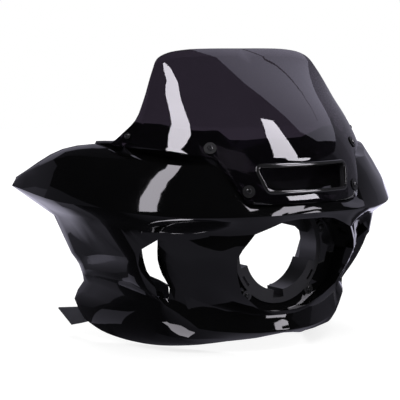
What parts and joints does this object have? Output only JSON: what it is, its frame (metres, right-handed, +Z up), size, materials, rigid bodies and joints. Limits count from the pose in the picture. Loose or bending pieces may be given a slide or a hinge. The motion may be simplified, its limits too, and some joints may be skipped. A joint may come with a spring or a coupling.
{
  "type": "motorcycle fairing",
  "caption": "Gloss black motorcycle headlamp fairing with swept wings, side vents, a smoked windscreen with an air slot, grained inner panels and a headlamp ring.",
  "frame": {"origin": "centre of the headlamp ring's opening, on the ring's front face", "axes": "the front of the fairing faces -Y, +X is the width and +Z is up"},
  "size_m": [0.698, 0.4335, 0.5011],
  "materials": {
    "gloss_black": "gloss",
    "smoked_sheet": "polished, see-through",
    "bezel_black": "gloss",
    "grained_black": "fine grain",
    "ring_black": "satin",
    "screw_black": "satin",
    "washer_nylon": "smooth",
    "rubber": "matte",
    "zinc_steel": "bright zinc"
  },
  "bodies": {
    "root": {"outer_fairing": "gloss_black", "windscreen": "smoked_sheet", "slot_bezel": "bezel_black", "inner_fairing_left": "grained_black", "inner_fairing_right": "grained_black", "headlamp_ring": "ring_black", "ring_screws": "screw_black", "screen_screws": "screw_black", "screen_washers": "washer_nylon", "screen_well_nuts": "rubber", "tab_nuts": "zinc_steel", "mount_grommets": "rubber", "mount_sleeves": "zinc_steel"}
  },
  "joints": []
}
